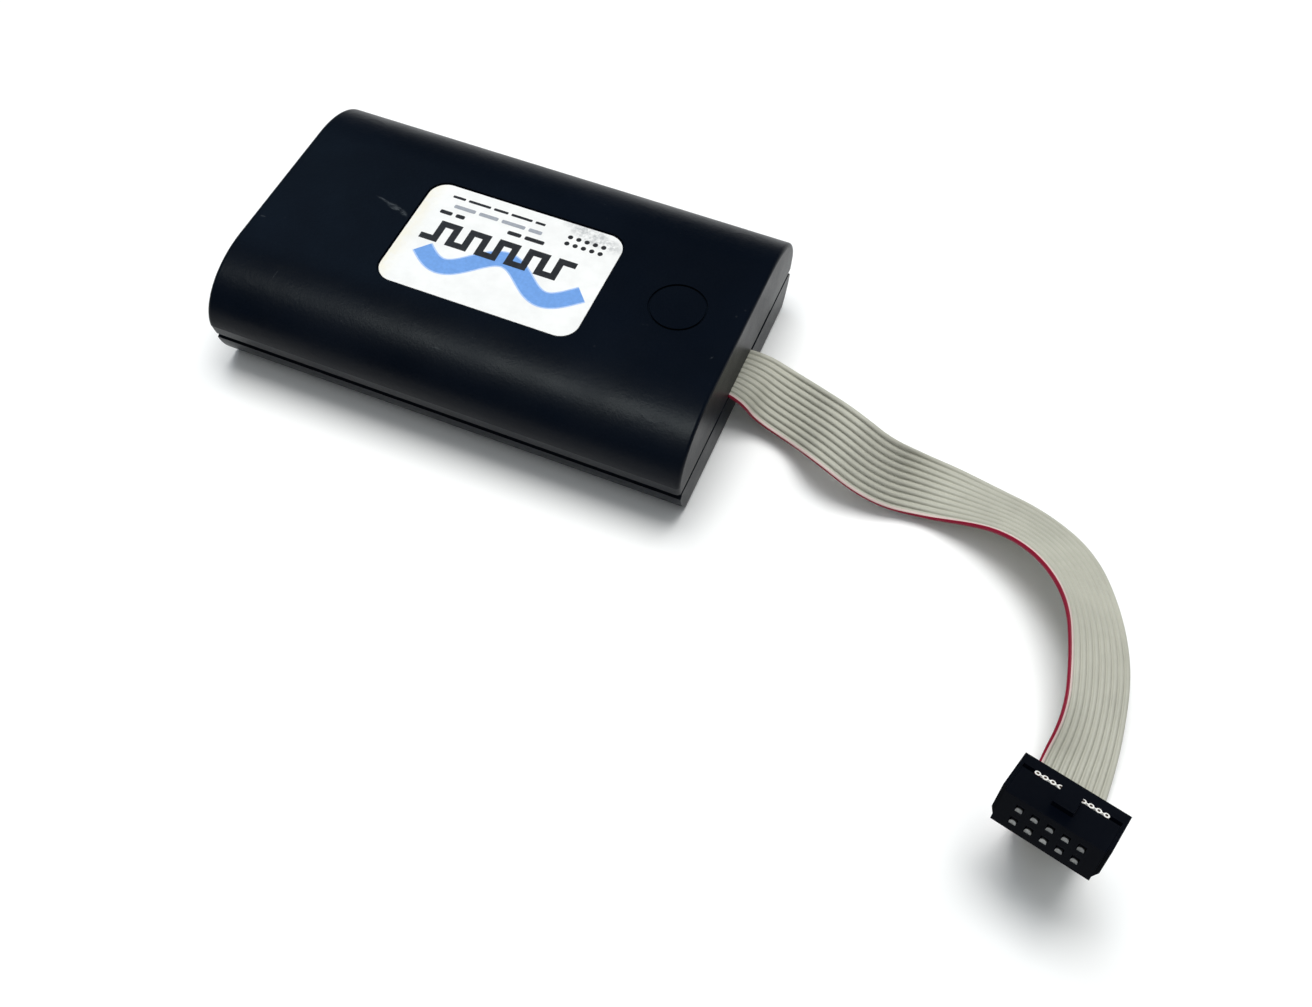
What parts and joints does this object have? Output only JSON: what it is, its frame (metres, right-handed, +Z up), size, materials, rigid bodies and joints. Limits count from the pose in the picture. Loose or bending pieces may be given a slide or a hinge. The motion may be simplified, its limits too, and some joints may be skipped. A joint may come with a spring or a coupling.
{
  "type": "usb microcontroller programmer",
  "caption": "Small USB programmer: two-part black moulded case with a circuit board, a USB type B jack at one end and a ten-way flat cable with a keyed box-type socket at the other.",
  "frame": {"origin": "under the centre of the case, on the plane the rubber feet stand on", "axes": "+X along the case towards the flat cable, +Z up"},
  "size_m": [0.1849, 0.1068, 0.0256],
  "materials": {
    "case_plastic": "satin moulded",
    "label_film": "semi-gloss film",
    "foot_rubber": "matt",
    "screw_steel": "zinc plated",
    "board_green": "solder mask",
    "jack_steel": "nickel plated",
    "black_nylon": "moulded nylon",
    "gold_contact": "gold plated",
    "tin_contact": "tin plated",
    "cable_vinyl": "grey vinyl",
    "chip_epoxy": "moulded epoxy",
    "can_steel": "drawn can",
    "can_aluminium": "drawn can",
    "fuse_polymer": "coated",
    "ceramic_tan": "ceramic"
  },
  "bodies": {
    "base": {"bottom_shell": "case_plastic", "bottom_label": "label_film", "rubber_feet": "foot_rubber", "case_screws": "screw_steel", "main_board": "board_green", "usb_jack_shell": "jack_steel", "usb_jack_insulator": "black_nylon", "usb_jack_contacts": "gold_contact", "pin_header_base": "black_nylon", "pin_header_pins": "gold_contact", "plug_body": "black_nylon", "plug_cover": "black_nylon", "plug_contacts": "tin_contact", "inner_plug_body": "black_nylon", "inner_plug_cover": "black_nylon", "inner_plug_contacts": "tin_contact", "ribbon_end_in_plug": "cable_vinyl", "ribbon_tail": "cable_vinyl", "ribbon_cable": "cable_vinyl", "microcontroller": "chip_epoxy", "microcontroller_leads": "tin_contact", "usb_interface_chip": "chip_epoxy", "usb_interface_leads": "tin_contact", "level_shifter": "chip_epoxy", "level_shifter_leads": "tin_contact", "line_buffer": "chip_epoxy", "line_buffer_leads": "tin_contact", "voltage_regulator": "chip_epoxy", "regulator_leads": "tin_contact", "crystals": "can_steel", "capacitor_bases": "black_nylon", "electrolytic_capacitors": "can_aluminium", "polyfuse": "fuse_polymer", "chip_capacitors": "ceramic_tan", "chip_resistors": "chip_epoxy", "chip_end_caps": "tin_contact"},
    "cover": {"top_shell": "case_plastic", "top_label": "label_film"}
  },
  "joints": [
    {"name": "cover_lift", "type": "slide", "parent": "base", "child": "cover", "axis": [0, 0, 1], "range_m": [0, 0.035]}
  ]
}
